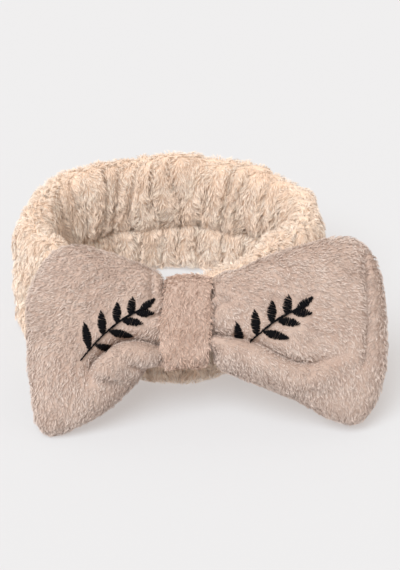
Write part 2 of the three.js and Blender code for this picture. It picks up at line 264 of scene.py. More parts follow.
def colour_by(tree, shader, value, dark, light, span=(0.0, 1.0)):
    """Colours the shader from dark to light by a texture's value, within the span of its values."""
    ramp = tree.nodes.new("ShaderNodeValToRGB")
    for element, position, color in zip(ramp.color_ramp.elements, span, (dark, light)):
        element.position = position
        element.color = (*color, 1)
    tree.links.new(value, ramp.inputs["Fac"])
    tree.links.new(ramp.outputs["Color"], shader.inputs["Base Color"])


def raise_by(tree, shader, value, distance, strength=1.0):
    """Gives the shader a relief by a texture's value."""
    bump = tree.nodes.new("ShaderNodeBump")
    bump.inputs["Strength"].default_value = strength
    bump.inputs["Distance"].default_value = distance
    tree.links.new(value, bump.inputs["Height"])
    tree.links.new(bump.outputs["Normal"], shader.inputs["Normal"])


def ground_material(name, color, deep, scale):
    """The knitted ground under a pile: blotches of two tones and a fine tufted relief."""
    material, shader, tree = new_material(name, srgb(*color), 0.95)
    blotches = add_texture(tree, "Noise", scale=scale, detail=6)
    tufts = add_texture(tree, "Voronoi", scale=9 * scale)
    colour_by(tree, shader, blotches.outputs["Fac"], srgb(*deep), srgb(*color), span=(0.35, 0.65))
    raise_by(tree, shader, tufts.outputs["Distance"], 0.8 * MM, strength=0.6)
    shader.inputs["Specular IOR Level"].default_value = 0.1
    return material


def thread_material(name, color, roughness):
    """Twisted thread: fine slanting bands in the colour and the relief; the colour is darker in the grooves
    of the twist, as painted shade.
    """
    material, shader, tree = new_material(name, srgb(*color), roughness)
    twist = add_texture(tree, "Wave", scale=900, distortion=1.5)
    dark = tuple(v * 0.6 for v in srgb(*color))
    # painted shade: the grooves of the twist are coloured darker
    colour_by(tree, shader, twist.outputs["Fac"], dark, srgb(*color))
    raise_by(tree, shader, twist.outputs["Fac"], 0.06 * MM)
    shader.inputs["Specular IOR Level"].default_value = 0.1
    return material


def fibre_material(name, color, scale):
    """Loose fibres: fine noise in the colour and the relief; the colour varies with the fibres and is
    darker in the dips of the relief, as painted shade.
    """
    material, shader, tree = new_material(name, srgb(*color), 0.95)
    fibres = add_texture(tree, "Noise", scale=scale, detail=8, distortion=2)
    dark = tuple(v * 0.75 for v in srgb(*color))
    # the fibres' own tone, and painted shade in the dips of the relief
    colour_by(tree, shader, fibres.outputs["Fac"], dark, srgb(*color))
    raise_by(tree, shader, fibres.outputs["Fac"], 0.5 * MM)
    return material


LOOKS = {
    "black_thread": thread_material("embroidery_thread", (16, 16, 20), 0.8),
    "beige_thread": thread_material("sewing_thread", (196, 168, 142), 0.6),
    "webbing": fibre_material("elastic_webbing", (236, 233, 226), 700),
    "tape": fibre_material("seam_tape", (222, 196, 168), 500),
    "wadding": fibre_material("filling_fibre", (240, 238, 232), 350),
    "backing": fibre_material("backing_fibre", (226, 222, 214), 900),
}


# ---- pile


PILE_TONES = 4
ROOT_DEPTH = 0.4 * MM  # a strand starts this far under the ground's surface


def pile_tones(name, tones, sheen):
    """One plain material for each tone of a pile, whose strands of several tones lie side by side."""
    made = []
    for k, tone in enumerate(tones):
        material, shader, _ = new_material(f"{name}_{k}", srgb(*tone), 0.85)
        shader.inputs["Specular IOR Level"].default_value = 0.15
        shader.inputs["Sheen Weight"].default_value = sheen
        shader.inputs["Sheen Roughness"].default_value = 0.5
        made.append(material)
    return made


def scatter(points, triangles, per_mm2, rng):
    """Random places on a surface: positions and normals."""
    a, b, c = (points[triangles[:, k]] for k in range(3))
    areas = np.linalg.norm(np.cross(b - a, c - a), axis=1) / 2
    count = int(areas.sum() / MM**2 * per_mm2)
    chosen = np.searchsorted(np.cumsum(areas) / areas.sum(), rng.random(count))
    chosen = np.minimum(chosen, len(triangles) - 1)
    u, v = rng.random(count), rng.random(count)
    flip = u + v > 1
    u[flip], v[flip] = 1 - u[flip], 1 - v[flip]
    weights = np.stack([1 - u - v, u, v], 1)[:, :, None]
    normals = vertex_normals(points, triangles)
    corners = triangles[chosen]
    return (points[corners] * weights).sum(1), unit((normals[corners] * weights).sum(1))


def search_tree(places):
    """For finding the nearest of some places."""
    tree = KDTree(len(places))
    for k, place in enumerate(places):
        tree.insert(place, k)
    tree.balance()
    return tree


def combed(comb, places, outward, spread):
    """Directions along a surface, where comb() points, each turned sideways by its spread."""
    direction = comb(places, outward)
    direction = unit(direction - (direction * outward).sum(1)[:, None] * outward)
    sideways = np.cross(outward, direction)
    return unit(direction + spread[:, None] * sideways)


def plant_tufts(points, triangles, look, comb, rng):
    """The tufts that the strands of a pile are drawn into: where they are, and how each one lies."""
    places, outward = scatter(points, triangles, 1 / look["tuft"] ** 2, rng)
    spread = rng.normal(0, look["swirl"], len(places))
    lift = rng.normal(look["lift"], look["lift"] * 0.35, len(places))
    length = rng.normal(1, 0.16, len(places))
    lay = combed(comb, places, outward, spread)
    tip = places + look["length"] * MM * unit(lay + lift[:, None] * outward)
    return {"place": places, "spread": spread, "lift": lift, "length": length, "tip": tip}


def shape_strands(roots, normals, share, tuft, look, comb, rng):
    """Tapered blades of five points: two at the root, two half-way, and the tip."""
    count = len(roots)
    lay = combed(comb, roots, normals, tuft["spread"] + rng.normal(0, 0.22, count))
    length = look["length"] * MM * share * tuft["length"] * rng.uniform(0.75, 1.15, count)
    lift = np.clip(tuft["lift"] + rng.normal(0, 0.12, count), 0.12, 1.4)[:, None]
    heading = unit(lay + lift * normals)
    gather = look["gather"] * (share**2 * rng.uniform(0.5, 1, count))[:, None]
    tips = roots + length[:, None] * heading
    tips = tips + gather * (tuft["tip"] - tips)
    curl = look["curl"] * MM * rng.normal(size=(count, 1)) * np.cross(normals, lay)
    middles = roots + (0.5 * length)[:, None] * unit(heading + 0.45 * normals) + curl
    middles = middles + 0.3 * gather * (tuft["tip"] - tips)
    facing = unit(normals + look["twist"] * rng.normal(size=(count, 3)))
    half_width = (look["width"] * MM * rng.uniform(0.7, 1.2, count) / 2)[:, None]
    side = unit(np.cross(tips - roots, facing)) * half_width
    roots = roots - ROOT_DEPTH * normals
    return np.stack([roots - side, roots + side, middles + 0.85 * side, middles - 0.85 * side, tips], 1)


def tone_slots(roots, tuft_shade, tones, seed, rng):
    """Material slots for a strand's two root faces and its tip: tones drift, and differ tuft by tuft."""
    drift = waves(roots, 0.02, seed) * 0.16 + tuft_shade
    tone = (0.5 + drift + rng.normal(0, 0.13, len(roots))) * tones
    tone = np.clip(tone, 0, tones - 1).astype(int)
    return np.stack([tone, tone, tone + tones], 1)


def grow_pile(name, base, look, comb, seed, trim):
    """Pile on the surface of base: strands combed along comb() and drawn into tufts.
    trim(places, normals) gives each strand's share of the full length; there is none where it is 0."""
    rng = np.random.default_rng(seed)
    points, triangles = points_of(base), triangles_of(base)
    roots, normals = scatter(points, triangles, look["per_mm2"], rng)
    share = trim(roots, normals) * 1.0
    grown = share > 0
    roots, normals, share = roots[grown], normals[grown], share[grown]
    tufts = plant_tufts(points, triangles, look, comb, rng)
    tree = search_tree(tufts["place"])
    nearest = np.array([tree.find(root)[1] for root in roots])
    own = {key: values[nearest] for key, values in tufts.items()}
    blades = shape_strands(roots, normals, share, own, look, comb, rng)
    first = 5 * np.arange(len(roots))[:, None]
    faces = (first[:, None] + np.array([[0, 1, 2], [0, 2, 3], [3, 2, 4]])).reshape(-1, 3)
    obj = mesh_object(name, blades.reshape(-1, 3), faces)
    for material in look["materials"]:
        obj.data.materials.append(material)
    tuft_shade = rng.normal(0, 0.1, len(tufts["place"]))[nearest]
    slots = tone_slots(roots - ROOT_DEPTH * normals, tuft_shade, PILE_TONES, seed + 1, rng)
    obj.data.polygons.foreach_set("material_index", slots.ravel().astype(np.int32))
    obj.data.update()
    return obj


def pile_look(name, dark, light, **values):
    """A pile's numbers and its tones, from dark to light; each strand's root faces are a step darker, as
    painted shade down in the pile, and its tip a step lighter, as painted light.
    """
    mix = [np.array(dark) + (np.array(light) - dark) * k / (PILE_TONES - 1) for k in range(PILE_TONES)]
    # painted shade at the strands' roots, and painted light at their tips
    roots = [tone * 0.93 for tone in mix]
    tips = [np.minimum(tone * 1.03, 255) for tone in mix]
    return {**values, "materials": pile_tones(name, [*roots, *tips], values["sheen"])}


# ---- the band

sleeve_boxes = [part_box(f"band_sleeve_{half}") for half in ("front", "rear")]
sleeve_low = Vector(map(min, *(low for low, _ in sleeve_boxes)))
sleeve_high = Vector(map(max, *(high for _, high in sleeve_boxes)))
BAND_CENTRE = np.array([(sleeve_low.x + sleeve_high.x) / 2, (sleeve_low.y + sleeve_high.y) / 2, 0])
BAND_WALL = 24 * MM
BAND_HEIGHT = 75 * MM
CAD_SWELL = 1 * MM  # the CAD sleeve's shallow gathers stand out by about this much
BAND_A = (sleeve_high.x - sleeve_low.x) / 2 - CAD_SWELL - BAND_WALL / 2
BAND_B = (sleeve_high.y - sleeve_low.y) / 2 - CAD_SWELL - BAND_WALL / 2
PILE_ROOM = 2.6 * MM  # the ground lies this far under the CAD surface, and the pile fills the space
CLOTH = 1.8 * MM  # how thick the ground is
RUCHE_DEPTH = 2.7 * MM
DIP = {"depth": 15 * MM, "spread": 36 * MM}  # the rim is drawn down where the bow is tied
REAR_RISE = 5 * MM
BULGE = {"out": 6 * MM, "spread": 26 * MM, "tall": 24 * MM}  # the outer face swells low under the knot
# Millimetres out from the middle of the wall, and up, round a section of the sleeve from its foot.
SECTION = [
    (5, 0), (10, 3), (12, 12), (12.6, 26), (12.4, 42), (11.6, 56), (9, 67), (4, 73.5), (-2, 74), (-8, 70),
    (-11.6, 61), (-12.8, 50), (-12.2, 38), (-7.6, 31.5), (-11.2, 25.5), (-11.8, 12), (-9.6, 3), (-4, 0),
]


def wall_at(turn):
    """The middle of the band's wall at an angle round the band, and the direction outward there."""
    middle = np.stack([BAND_A * np.cos(turn), BAND_B * np.sin(turn)], -1)
    outward = unit(np.stack([np.cos(turn) / BAND_A, np.sin(turn) / BAND_B], -1))
    return middle, outward


def band_place(places):
    """The angle round the band of each place, how far out of the middle of the wall it is, and outward."""
    local = places - BAND_CENTRE
    turn = np.arctan2(local[:, 1] / BAND_B, local[:, 0] / BAND_A)
    middle, outward = wall_at(turn)
    return turn, ((local[:, :2] - middle) * outward).sum(1), outward


def band_rim(turn):
    """How high the rim stands, as a share of the full height."""
    x = BAND_A * np.cos(turn)
    dip = np.where(np.sin(turn) > 0, 0, DIP["depth"] * np.exp(-((x / DIP["spread"]) ** 2)))
    rise = REAR_RISE * np.maximum(np.sin(turn), 0) ** 1.5
    return 1 + (rise - dip) / BAND_HEIGHT


def ruche_phase(turn, height, face):
    """Grows by pi from one fold of the ruched sleeve to the next. height is from 0 at the foot to 3 at the
    rim, and face from -1 inside to 1 outside."""
    wander = 0.05 * np.sin(3 * turn + 1) + 0.04 * np.sin(7 * turn + 2.5 * height) + 0.02 * np.sin(13 * turn)
    folds = 18 + 2 * face
    return folds * (turn + wander) + 0.5 * np.sin(1.3 * height + 5 * turn)


def ruches(turn, height, face):
    """The ruches of the sleeve, from -1 in a fold to 1 on a ridge."""
    phase = ruche_phase(turn, height, face)
    narrow = 1 - 1.75 * np.exp(-((np.sin(phase) / 0.5) ** 2))
    uneven = 0.75 + 0.25 * np.sin(11 * turn + 1.7 * height + face)
    broad = 0.3 * np.sin(9 * turn + 1.1 * height + 2 * face)
    return uneven * narrow + broad


def band_surface(turn, offset, height):
    """The ruched cloth, by angle round the band, offset from the middle of the wall, and height."""
    share = height / BAND_HEIGHT
    face = np.tanh(offset / (3 * MM))
    ruche = ruches(turn, 3 * share, face)
    standing = smoothstep(share, 0.0, 0.12)
    top = smoothstep(share, 0.72, 1.0)
    middle, outward = wall_at(turn)
    x, y = middle[..., 0], middle[..., 1]
    slouch = 1.6 * MM * np.sin(3 * turn + 0.7) + 1.1 * MM * np.sin(5 * turn + 2)
    below_knot = np.exp(-((x / BULGE["spread"]) ** 2) - (height / BULGE["tall"]) ** 2) * (np.sin(turn) < 0)
    out = offset * (1 - PILE_ROOM / (BAND_WALL / 2)) + face * RUCHE_DEPTH * ruche * standing
    out = out + slouch * share + BULGE["out"] * below_knot * (face > 0)
    x = x + out * outward[..., 0] + 1.0 * MM * standing * np.sin(17 * turn + 4 * share)
    y = y + out * outward[..., 1]
    z = height * band_rim(turn) + top * (1.5 * MM * ruche + 1.4 * MM * np.sin(9 * turn + 1))
    z = np.maximum(z, 0.4 * MM)
    return np.stack(np.broadcast_arrays(x, y, z), -1).reshape(-1, 3) + BAND_CENTRE


def build_band_ground():
    """The sleeve's cloth, ruched by the elastic inside it, and its outer side for the pile to grow on."""
    rounds, sides = 480, 90
    section = smooth_curve(SECTION, sides, closed=True) * MM
    turn = np.linspace(0, 2 * math.pi, rounds, endpoint=False)[:, None]
    points = band_surface(turn, section[None, :, 0], section[None, :, 1])
    quads = ring_quads(rounds, sides)
    normals = vertex_normals(points, np.vstack([quads[:, :3], quads[:, [0, 2, 3]]]))
    lumps = waves(points, 0.011, 11) * 0.5 * MM
    outer = points + lumps[:, None] * normals
    outer[:, 2] = np.maximum(outer[:, 2], 0.3 * MM)
    inner = outer - CLOTH * normals
    cloth = np.vstack([quads, quads[:, ::-1] + len(outer)])
    return mesh_object("skin", outer, quads), mesh_object("band_ground", np.vstack([outer, inner]), cloth)


def comb_band(places, outward):
    """The band's pile falls from the rim down both faces, and off each ridge of the ruches."""
    turn, offset, out = band_place(places)
    level = np.zeros(len(places))
    over = np.tanh(offset / (5 * MM))[:, None]
    around = np.stack([-out[:, 1], out[:, 0], level], 1)
    away = np.stack([out[:, 0], out[:, 1], level], 1) * over
    down = np.array([0, 0, -1.0])
    phase = ruche_phase(turn, 3 * places[:, 2] / BAND_HEIGHT, np.tanh(offset / (3 * MM)))
    drift = waves(places, 0.016, 21) * 0.3 - 0.85 * np.sin(2 * phase)
    return down + 0.9 * away + drift[:, None] * around


def blend_band(piece):
    """Makes the piece's place part of its mesh."""
    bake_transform(piece)


def trim_band(part):
    """One part of the band's pile. It is shorter at the rim, and there is none under the foot."""

    def trim(places, outward):
        inner = band_place(places)[1] < 0
        front = places[:, 1] < BAND_CENTRE[1]
        shown = {"inner": inner, "outer_front": ~inner & front, "outer_rear": ~inner & ~front}[part]
        clear = (places[:, 2] > 1.5 * MM) | (outward[:, 2] > -0.5)
        return shown * clear * (1 - 0.3 * smoothstep(places[:, 2] / MM, 58, 74))

    return trim


def build_band():
    """The sleeve: its cloth, and curly pile on the inner face and on both halves of the outer one."""
    skin, ground = build_band_ground()
    dress(ground, ground_material("band_ground", (240, 220, 201), (231, 206, 185), 45))
    look = pile_look(
        "band_pile", (246, 226, 208), (252, 239, 227),
        length=5.4, width=0.4, per_mm2=1.45, tuft=3.0, swirl=0.26,
        lift=0.4, gather=0.62, curl=0.25, twist=0.45, sheen=0.12,
    )

    made = []
    for number, part in enumerate(("inner", "outer_front", "outer_rear")):
        made.append(grow_pile(f"band_pile_{part}", skin, look, comb_band, 31 + number, trim_band(part)))
    bpy.data.objects.remove(skin)
    for piece in made:
        settle(piece)
    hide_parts("band_sleeve_front", "band_sleeve_rear")
    for piece in [ground, *made]:
        blend_band(piece)


def hoop(name, offset, low, high, thickness, ribs):
    """A band of tape standing inside the sleeve, all the way round, with fine ribs up its faces. In mm."""
    rounds = 720
    turn = np.linspace(0, 2 * math.pi, rounds, endpoint=False)
    middle, outward = wall_at(turn)
    ripple = ribs * MM * np.sin(180 * turn)
    rings = []
    for side, height in ((0.5, low), (0.5, high), (-0.5, high), (-0.5, low)):
        flat = middle + outward * (offset * MM + ripple + side * thickness * MM)[:, None]
        rings.append(np.column_stack([flat, np.full(rounds, height * MM)]) + BAND_CENTRE)
    points = np.stack(rings, 1).reshape(-1, 3)
    return mesh_object(name, points, ring_quads(rounds, len(rings)), smooth=False)


def build_band_insides():
    """The elastic and the seam allowance inside the sleeve. Nothing of them shows from outside."""
    elastic = hoop("elastic_loop", 0.6, 22.5, 52.5, 1.5, 0.25)
    dress(elastic, LOOKS["webbing"])
    binding = hoop("seam_allowance", -1.6, 30, 37, 1.4, 0.15)
    dress(binding, LOOKS["tape"])
    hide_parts("elastic_front", "elastic_rear")
    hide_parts("seam_binding_front", "seam_binding_rear")
    for piece in (elastic, binding):
        blend_band(piece)


# ---- the bow's own axes

hinges = {name: np.array(joints[f"{name}_bend"]["pos_m"]) for name in ("left_lobe", "right_lobe")}
KNOT_AT = (hinges["left_lobe"] + hinges["right_lobe"]) / 2
ACROSS = unit(hinges["right_lobe"] - hinges["left_lobe"])
UP = unit(np.array(joints["left_lobe_bend"]["axis"]))
AXES = np.stack([ACROSS, np.cross(UP, ACROSS), UP])  # right, back and up along the bow


def from_bow(local):
    """Places in the bow's own axes, in the part's."""
    return KNOT_AT + local @ AXES


def to_bow(places):
    """Places of the part, in the bow's own axes."""
    return (places - KNOT_AT) @ AXES.T


# A crease pressed into the front of a lobe: its line, depth and width, how far the cloth swells below and
# above it, how far the lower side laps over it, and the share of the line where it begins to fade.
Crease = namedtuple("Crease", "line depth width below above lip fade")

# All in millimetres right and up from the middle of the knot.
LEFT_OUTLINE = [
    (-4, 14), (-10.5, 19), (-14, 26), (-18, 30), (-27, 33.5), (-45, 40), (-64, 44.5), (-77, 40.5),
    (-87, 28.5), (-92.5, 12), (-92.5, -4), (-92, -30), (-89.5, -52), (-84, -63), (-72, -63), (-54, -54.5),
    (-36, -41.5), (-23, -29.5), (-15.5, -25.5), (-11, -19), (-4, -14),
]
LEFT_FOLD = [
    (-12, -17), (-20, -14), (-28, -12), (-37, -12), (-45, -15.5), (-52, -21.5), (-56.5, -28), (-56, -37),
]
LEFT_TUCK = [(-14, -25), (-24, -26.5), (-31, -25), (-37, -22.5)]
LEFT_PINCH = [(-12, 6), (-20, 3.5), (-26, -1)]
LEFT_FRILL = [(-20.5, 28), (-20.5, 18), (-19, 9)]
RIGHT_OUTLINE = [
    (4, 14), (10.5, 18.5), (13.5, 25.5), (17, 28.5), (24, 31), (44, 37), (66, 43), (86, 47.5), (100, 45),
    (109.5, 34), (114.5, 12), (115.5, -12), (113, -34), (108, -50), (98, -60), (82, -56.5), (64, -47.5),
    (45, -40), (27, -32.5), (17, -28), (12, -19), (4, -14),
]
RIGHT_FOLD = [
    (12, -8), (21, -9.5), (31, -11), (42, -15), (52, -20.5), (61, -24.5), (70, -25.2), (82, -22), (94, -19),
]
RIGHT_PINCH = [(13, 7), (21, 10.5), (29, 13)]
RIGHT_SEAM = [(103, 37), (104, 20), (104, 0), (103, -16), (101, -30)]

# side is the lobe's side of the knot, puff how far its front bulges in mm, motif the sprig's place and
# scale, and seam how far out a topstitched seam crosses the lobe.
LOBES = {
    "left_lobe": {
        "side": -1,
        "puff": 15.5,
        "centre": (-52, -6),
        "outline": LEFT_OUTLINE,
        "creases": [
            Crease(LEFT_FOLD, depth=12.5, width=3.8, below=7.5, above=0.0, lip=4.0, fade=0.74),
            Crease(LEFT_TUCK, depth=5.5, width=2.2, below=1.4, above=1.0, lip=0.8, fade=0.6),
            Crease(LEFT_PINCH, depth=3.0, width=2.4, below=0.8, above=0.8, lip=0.5, fade=0.4),
            Crease(LEFT_FRILL, depth=2.6, width=1.5, below=0.6, above=0.9, lip=0.0, fade=0.7),
        ],
        "motif": (-43, -1, 1.0),
    },
    "right_lobe": {
        "side": 1,
        "puff": 16.5,
        "centre": (62, -4),
        "outline": RIGHT_OUTLINE,
        "creases": [
            Crease(RIGHT_FOLD, depth=11.0, width=3.6, below=6.5, above=0.0, lip=3.6, fade=0.64),
            Crease(RIGHT_PINCH, depth=4.5, width=2.6, below=1.0, above=1.0, lip=0.6, fade=0.5),
            Crease(RIGHT_SEAM, depth=3.4, width=2.0, below=0.7, above=0.7, lip=0.0, fade=0.85),
        ],
        "motif": (46, -2, 1.08),
        "seam": 103,
    },
}
FUR_ROOM = 1.2 * MM  # the knot's ground lies this far inside its CAD surface, and its pile fills the space
EDGE_WEAR = 1.2 * MM  # a lobe's thin edge loses about this much when its mesh is made even
VOXEL = 3 * MM
PUFF_LIMIT = 5 * MM
CLOTH_FRAMES = 20
FILLED_CLOTH = {
    "quality": 6,
    "mass": 0.2,
    "tension_stiffness": 12,
    "compression_stiffness": 12,
    "shear_stiffness": 6,
    "bending_stiffness": 0.3,
    "use_pressure": True,
    "uniform_pressure_force": 4.0,
}


def crease_line(crease):
    """A crease's line as a smooth row of points, in metres."""
    return smooth_curve(crease.line, 48) * MM


def nearest_on(line, places):
    """For places (n, 2) near a line: the distance, positive to its left, the share of the way along it, and
    the direction to its left."""
    best = np.full(len(places), np.inf)
    share = np.zeros(len(places))
    leftward = np.zeros((len(places), 2))
    signed = np.zeros(len(places))
    steps = len(line) - 1
    for k in range(steps):
        start, step = line[k], line[k + 1] - line[k]
        t = np.clip(((places - start) @ step) / (step @ step), 0, 1)
        gap = places - start - t[:, None] * step
        distance = np.hypot(gap[:, 0], gap[:, 1])
        closer = distance < best
        left = np.array([-step[1], step[0]]) / math.hypot(*step)
        side = np.where(gap @ left >= 0, 1, -1)
        best[closer] = distance[closer]
        share[closer] = (k + t[closer]) / steps
        leftward[closer] = left
        signed[closer] = (side * distance)[closer]
    return signed, share, leftward


def press_crease(local, crease, side):
    """Presses one crease into the front of a lobe: a valley, with a fold below it that rises over it."""
    signed, share, leftward = nearest_on(crease_line(crease), local[:, [0, 2]])
    width = crease.width
    over = side * signed / MM
    upward = leftward * side
    front = smoothstep(-local[:, 1] / MM, -1, 5) * (1 - smoothstep(share, crease.fade, 1.0))
    upper, lower = np.maximum(over, 0), np.maximum(-over, 0)
    valley = crease.depth * 0.68 * np.exp(-((upper + lower) / width) ** 1.7)
    slope = crease.depth * 0.32 * np.exp(-(upper / (3.4 * width)) ** 1.5 - (lower / width) ** 1.7)
    swell_below = crease.below * np.exp(-(((over + 2.3 * width) / (2.2 * width)) ** 2))
    swell_above = crease.above * np.exp(-(((over - 2.8 * width) / (2.4 * width)) ** 2))
    pull = crease.lip * np.exp(-(((over + 1.1 * width) / width) ** 2))
    local[:, 1] += MM * front * ((valley + slope) - (swell_below + swell_above))
    local[:, [0, 2]] += MM * (front * pull)[:, None] * upward


def pillow_sheet(lobe, outline, centre, rings, face):
    """One panel: its middle point, then rings of points out to the outline. face is -1 at the front."""
    r = rings[:, None]
    flat = centre + r[..., None] * (outline[None] - centre)
    away = np.abs(flat[..., 0]) / MM
    waist = 0.46 + 0.3 * smoothstep(away, 10, 19) + 0.24 * smoothstep(away, 18, 50)
    puff = lobe["puff"] * MM
    tall = puff * np.maximum(1 - r**3.2, 0) ** 0.5 * waist
    sheet = np.stack([flat[..., 0], face * tall, flat[..., 1]], -1).reshape(-1, 3)
    return np.vstack([[[centre[0], face * puff, centre[1]]], sheet])


def pillow(lobe):
    """The lobe before it is filled: two panels that meet at the outline, thin at the knot."""
    outline = smooth_curve(lobe["outline"], 130, closed=True)
    centre = np.array(lobe["centre"], float)
    outline = (outline - EDGE_WEAR / MM * unit(centre - outline)) * MM
    centre = centre * MM
    rings = np.sin(np.linspace(0, math.pi / 2, 20))[1:]
    spokes = len(outline)
    sheets = [pillow_sheet(lobe, outline, centre, rings, face) for face in (-1.0, 0.85)]
    count = len(sheets[0])
    edge = 1 + (len(rings) - 1) * spokes
    panel = []
    for s in range(spokes):
        t = (s + 1) % spokes
        panel.append([0, 1 + s, 1 + t])
        for a in range(1, edge, spokes):
            panel.append([a + s, a + spokes + s, a + spokes + t, a + t])
    faces = []
    for layer, flip in ((0, lobe["side"] > 0), (count, lobe["side"] < 0)):
        for corners in panel:
            shifted = [c if c >= edge else c + layer for c in corners]  # both panels share the front's edge
            faces.append(shifted[::-1] if flip else shifted)
    return mesh_object("pillow", from_bow(np.vstack(sheets)), faces)


def applied(obj):
    """Makes obj's modifiers part of its mesh."""
    made = bpy.data.meshes.new_from_object(obj.evaluated_get(bpy.context.evaluated_depsgraph_get()))
    obj.modifiers.clear()
    obj.data = made


def even_mesh(obj, size):
    """Makes a closed mesh anew, from even quads of a size."""
    remesh = obj.modifiers.new("even", "REMESH")
    remesh.mode = "VOXEL"
    remesh.voxel_size = size
    applied(obj)


def fill_up(obj, limit):
    """Puffs a closed mesh up as filled cloth. No point moves more than limit metres."""
    before = points_of(obj)
    cloth = obj.modifiers.new("cloth", "CLOTH")
    cloth.settings.effector_weights.gravity = 0.0
    for name, value in FILLED_CLOTH.items():
        setattr(cloth.settings, name, value)
    for step in range(1, CLOTH_FRAMES + 1):
        bpy.context.scene.frame_set(step)
    applied(obj)
    bpy.context.scene.frame_set(1)
    moved = points_of(obj) - before
    length = np.linalg.norm(moved, axis=1, keepdims=True)
    set_points(obj, before + moved * np.minimum(1, limit / np.maximum(length, 1e-9)))


def subdivided(obj):
    """Makes a mesh finer and smooth."""
    obj.modifiers.new("smooth", "SUBSURF").levels = 1
    applied(obj)
    obj.data.polygons.foreach_set("use_smooth", np.ones(len(obj.data.polygons), bool))


def build_lobe_ground(name, lobe):
    """A lobe's cloth: a pillow, filled, then lumped a little and creased."""
    obj = pillow(lobe)
    obj.name = f"{name}_ground"
    even_mesh(obj, VOXEL)
    fill_up(obj, PUFF_LIMIT)
    subdivided(obj)
    points = points_of(obj)
    lumps = 0.7 * MM * waves(points, 0.03, 5) + 0.3 * MM * waves(points, 0.011, 6)
    points = points + lumps[:, None] * 0.6 * vertex_normals(points, triangles_of(obj))
    local = to_bow(points)
    for crease in lobe["creases"]:
        press_crease(local, crease, lobe["side"])
    set_points(obj, from_bow(local))
    return obj


# ---- embroidery

THREAD = {"radius": 0.3, "pitch": 0.5, "rise": 1.6, "points": 7}


def stem_point(t):
    """A point of the sprig's stem, in mm, from its foot at 0 to its top at 1."""
    return np.stack([-19 + 36 * t, -20 + 29 * t + 4 * np.sin(math.pi * t)], -1)


def leaf_stitches(base, angle, length, width):
    """Satin stitches across a leaf: pairs of ends on its two edges, slanting towards its tip."""
    count = int(length / THREAD["pitch"])
    t = np.linspace(0.04, 0.93, count)
    slant = 0.05

    def edge(t, sign):
        x = 2 * t * (1 - t) * 0.45 * length + t * t * length
        return np.stack([x, sign * 2 * t * (1 - t) * width], -1)

    ends = np.stack([edge(t - slant * t, -1), edge(np.minimum(t + slant, 1), 1)], 1)
    turn = np.array([[math.cos(angle), math.sin(angle)], [-math.sin(angle), math.cos(angle)]])
    return ends @ turn + base


def sprig_stitches():
    """The two ends of every stitch of a leafy sprig, in mm: a stem and nine leaves."""
    t = np.linspace(0, 1, 105)
    stem = stem_point(t)
    ends = [np.stack([stem + (-0.2, -0.35), stem + (0.35, 1.15)], 1)]
    for k in range(4):
        t = 0.14 + 0.22 * k
        length = 17 - 2 * k
        ends.append(leaf_stitches(stem_point(t), 1.75 - 0.1 * k, length, 5))
        ends.append(leaf_stitches(stem_point(t + 0.08), -0.35 + 0.1 * k, length, 4.8))
    ends.append(leaf_stitches(stem_point(0.94), 0.65, 12, 4.4))
    return np.concatenate(ends)


def tubes(name, paths, radius, outward, sides=6):
    """Round threads along paths (threads, points, 3), narrower at both ends, with closed ends."""
    threads, count = paths.shape[:2]
    along = unit(np.gradient(paths, axis=1))
    side = unit(np.cross(along, outward))
    top = np.cross(side, along)
    share = np.linspace(-1, 1, count)
    size = radius * np.sqrt(1 - 0.75 * share**6)
    turn = 2 * math.pi * np.arange(sides) / sides
    ring = np.cos(turn)[:, None] * side[:, :, None] + np.sin(turn)[:, None] * top[:, :, None]
    points = paths[:, :, None] + size[None, :, None, None] * ring
    first = (np.arange(threads) * count * sides)[:, None]  # each thread's first point
    faces = []
    for k in range(count - 1):
        for s in range(sides):
            a, b = k * sides + s, k * sides + (s + 1) % sides
            faces.append([a, b, b + sides, a + sides])
    quads = (first[:, None] + np.array(faces)[None]).reshape(-1, 4)
    start = first + np.arange(sides)[::-1]
    end = first + (count - 1) * sides + np.arange(sides)
    caps = []
    for k in range(1, sides - 1, 2):
        corners = [0, k, k + 1, min(k + 2, sides - 1)]
        caps += [start[:, corners], end[:, corners]]
    return mesh_object(name, points.reshape(-1, 3), np.vstack([quads, *caps]))


def surface_tree(obj):
    """An object's surface in the bow's axes, for casting rays at it."""
    points, triangles = points_of(obj), triangles_of(obj)
    return BVHTree.FromPolygons(to_bow(points).tolist(), triangles.tolist())


def on_front(tree, flat):
    """Places on the front of a lobe over flat places (n, 2) of the bow, in the bow's axes."""
    hits = []
    for x, z in flat:
        hit = tree.ray_cast(Vector((x, -0.08, z)), Vector((0, 1, 0)))[0]
        hits.append(tuple(hit) if hit is not None else (x, 0.0, z))
    return np.array(hits)


def embroider(name, lobe, tree):
    """The sprig in satin stitch. Returns the piece and the flat places its threads cover."""
    x, z, scale = lobe["motif"]
    ends = sprig_stitches()
    rng = np.random.default_rng(71)
    ends = ends + rng.uniform(-0.3, 0.3, ends.shape)
    ends = (ends * scale + (x, z)) * MM
    above = nearest_on(crease_line(lobe["creases"][0]), ends.mean(axis=1))[0] * lobe["side"]
    ends = ends[above > 0.8 * MM]  # the rest is tucked into the fold
    steps = np.linspace(0, 1, THREAD["points"])[:, None]
    flat = (ends[:, None, 0] * (1 - steps) + ends[:, None, 1] * steps).reshape(-1, 2)
    places = on_front(tree, flat).reshape(len(ends), THREAD["points"], 3)
    places[:, :, 1] -= THREAD["rise"] * MM * (1 - (2 * steps[:, 0] - 1) ** 4)
    piece = tubes(f"{name}_sprig", from_bow(places), THREAD["radius"] * MM, -AXES[1])
    dress(piece, LOOKS["black_thread"])
    return piece, flat


# ---- lobes

HIDDEN_BY_KNOT = 10.5 * MM  # no pile grows this near the knot's middle
EDGE_STITCH = {"radius": 0.35 * MM, "points": 5, "spacing": 7, "clear": 22}
FILLING_DEPTH = 2.7 * MM
PATCH = {"half_width": 20, "half_height": 14, "steps": 29, "depth": 1.6 * MM, "thickness": 0.35 * MM}


